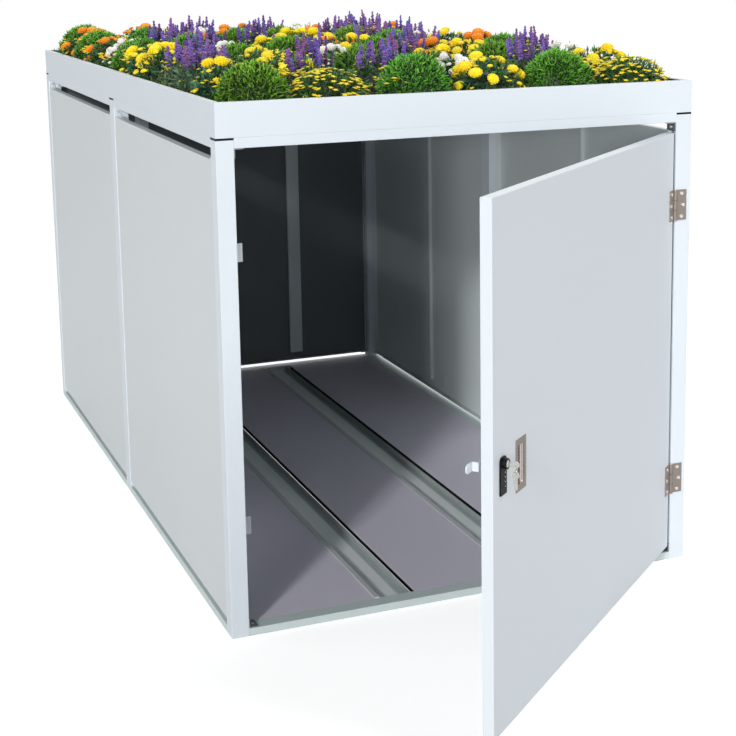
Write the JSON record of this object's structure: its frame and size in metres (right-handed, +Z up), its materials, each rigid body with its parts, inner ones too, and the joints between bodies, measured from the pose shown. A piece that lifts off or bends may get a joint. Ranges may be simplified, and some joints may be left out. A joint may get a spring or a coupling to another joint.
{
  "type": "bicycle locker",
  "caption": "Low rectangular street locker for bicycles: a steel post-and-panel box with a hinged lockable front door, sunk wheel channels in its floor and a planted roof.",
  "frame": {"origin": "on the ground, under the middle of the locker's body", "axes": "+X across the locker to the right, with the door front facing -Y, +Y towards the rear and +Z up"},
  "size_m": [1.3, 3.1892, 1.48],
  "materials": {
    "frame_paint": "satin powder coat",
    "sill_paint": "satin powder coat",
    "panel_paint": "satin powder coat",
    "door_paint": "satin powder coat",
    "floor_paint": "satin powder coat",
    "channel_steel": "plain steel sheet",
    "black_plastic": "matt",
    "stainless_steel": "brushed",
    "black_lock_metal": "satin black",
    "key_metal": "nickel plated",
    "tray_metal": "plain sheet",
    "drainage_fabric": "felt",
    "soil": "loose soil, matt",
    "box_leaves": "leaves, matt",
    "yellow_flowers": "blooms, matt",
    "orange_flowers": "blooms, matt",
    "purple_flowers": "blooms, matt",
    "white_flowers": "blooms, matt",
    "small_yellow_flowers": "blooms, matt"
  },
  "bodies": {
    "frame": {"bidens": "small_yellow_flowers", "box_bushes": "box_leaves", "bracket_screws": "stainless_steel", "door_stops": "door_paint", "drainage_mat": "drainage_fabric", "fascia_front": "frame_paint", "fascia_left": "frame_paint", "fascia_rear": "frame_paint", "fascia_right": "frame_paint", "floor_bearers": "floor_paint", "floor_plate_left": "floor_paint", "floor_plate_middle": "floor_paint", "floor_plate_right": "floor_paint", "frame_brackets": "frame_paint", "hinge_pins": "stainless_steel", "hinge_post_leaves": "stainless_steel", "hinge_screws_post": "stainless_steel", "lintel": "frame_paint", "marigolds_orange": "orange_flowers", "marigolds_yellow": "yellow_flowers", "panel_brackets": "frame_paint", "panel_left_front": "panel_paint", "panel_left_rear": "panel_paint", "panel_rear": "panel_paint", "panel_right_front": "panel_paint", "panel_right_rear": "panel_paint", "panel_stiffeners": "panel_paint", "planting_tray": "tray_metal", "post_caps": "black_plastic", "post_front_left": "frame_paint", "post_front_right": "frame_paint", "post_rear_left": "frame_paint", "post_rear_right": "frame_paint", "posts_middle": "frame_paint", "rear_bottom_rail": "sill_paint", "rear_top_rail": "frame_paint", "roof_beams": "channel_steel", "salvias": "purple_flowers", "side_bottom_rails": "sill_paint", "side_top_rails": "frame_paint", "sill": "sill_paint", "soil_bed": "soil", "strike_plate": "frame_paint", "wheel_channels": "channel_steel", "white_blooms": "white_flowers"},
    "door": {"door_front_sheet": "door_paint", "door_back_sheet": "door_paint", "door_uprights": "door_paint", "hinge_door_leaves": "stainless_steel", "hinge_screws_door": "stainless_steel", "lock_plate": "black_lock_metal", "lock_barrel": "black_lock_metal", "lock_nut": "stainless_steel", "pull_handle": "stainless_steel"},
    "lock_core": {"lock_plug": "key_metal", "lock_cam": "door_paint", "cam_screw": "stainless_steel"},
    "key_in_lock": {"key": "key_metal"},
    "ring": {"key_ring": "key_metal"},
    "hanging_key": {"spare_key": "key_metal"}
  },
  "joints": [
    {"name": "door_swing", "type": "hinge", "parent": "frame", "child": "door", "pos_m": [0.602, -1.205, 0.618], "axis": [0, 0, 1], "range_deg": [-41, 124]},
    {"name": "lock_turn", "type": "hinge", "parent": "door", "child": "lock_core", "pos_m": [-0.26293, -1.96747, 0.635], "axis": [0.6561, -0.7547, 0], "range_deg": [0, 90]},
    {"name": "key_pull", "type": "slide", "parent": "lock_core", "child": "key_in_lock", "axis": [0.6561, -0.7547, 0], "range_m": [0, 0.028]},
    {"name": "ring_swing", "type": "hinge", "parent": "key_in_lock", "child": "ring", "pos_m": [-0.25178, -1.9803, 0.631], "axis": [0.7547, 0.6561, 0], "range_deg": [-60, 25]},
    {"name": "spare_key_swing", "type": "hinge", "parent": "ring", "child": "hanging_key", "pos_m": [-0.25178, -1.9803, 0.6164], "axis": [0.7547, 0.6561, 0], "range_deg": [-30, 30]}
  ]
}
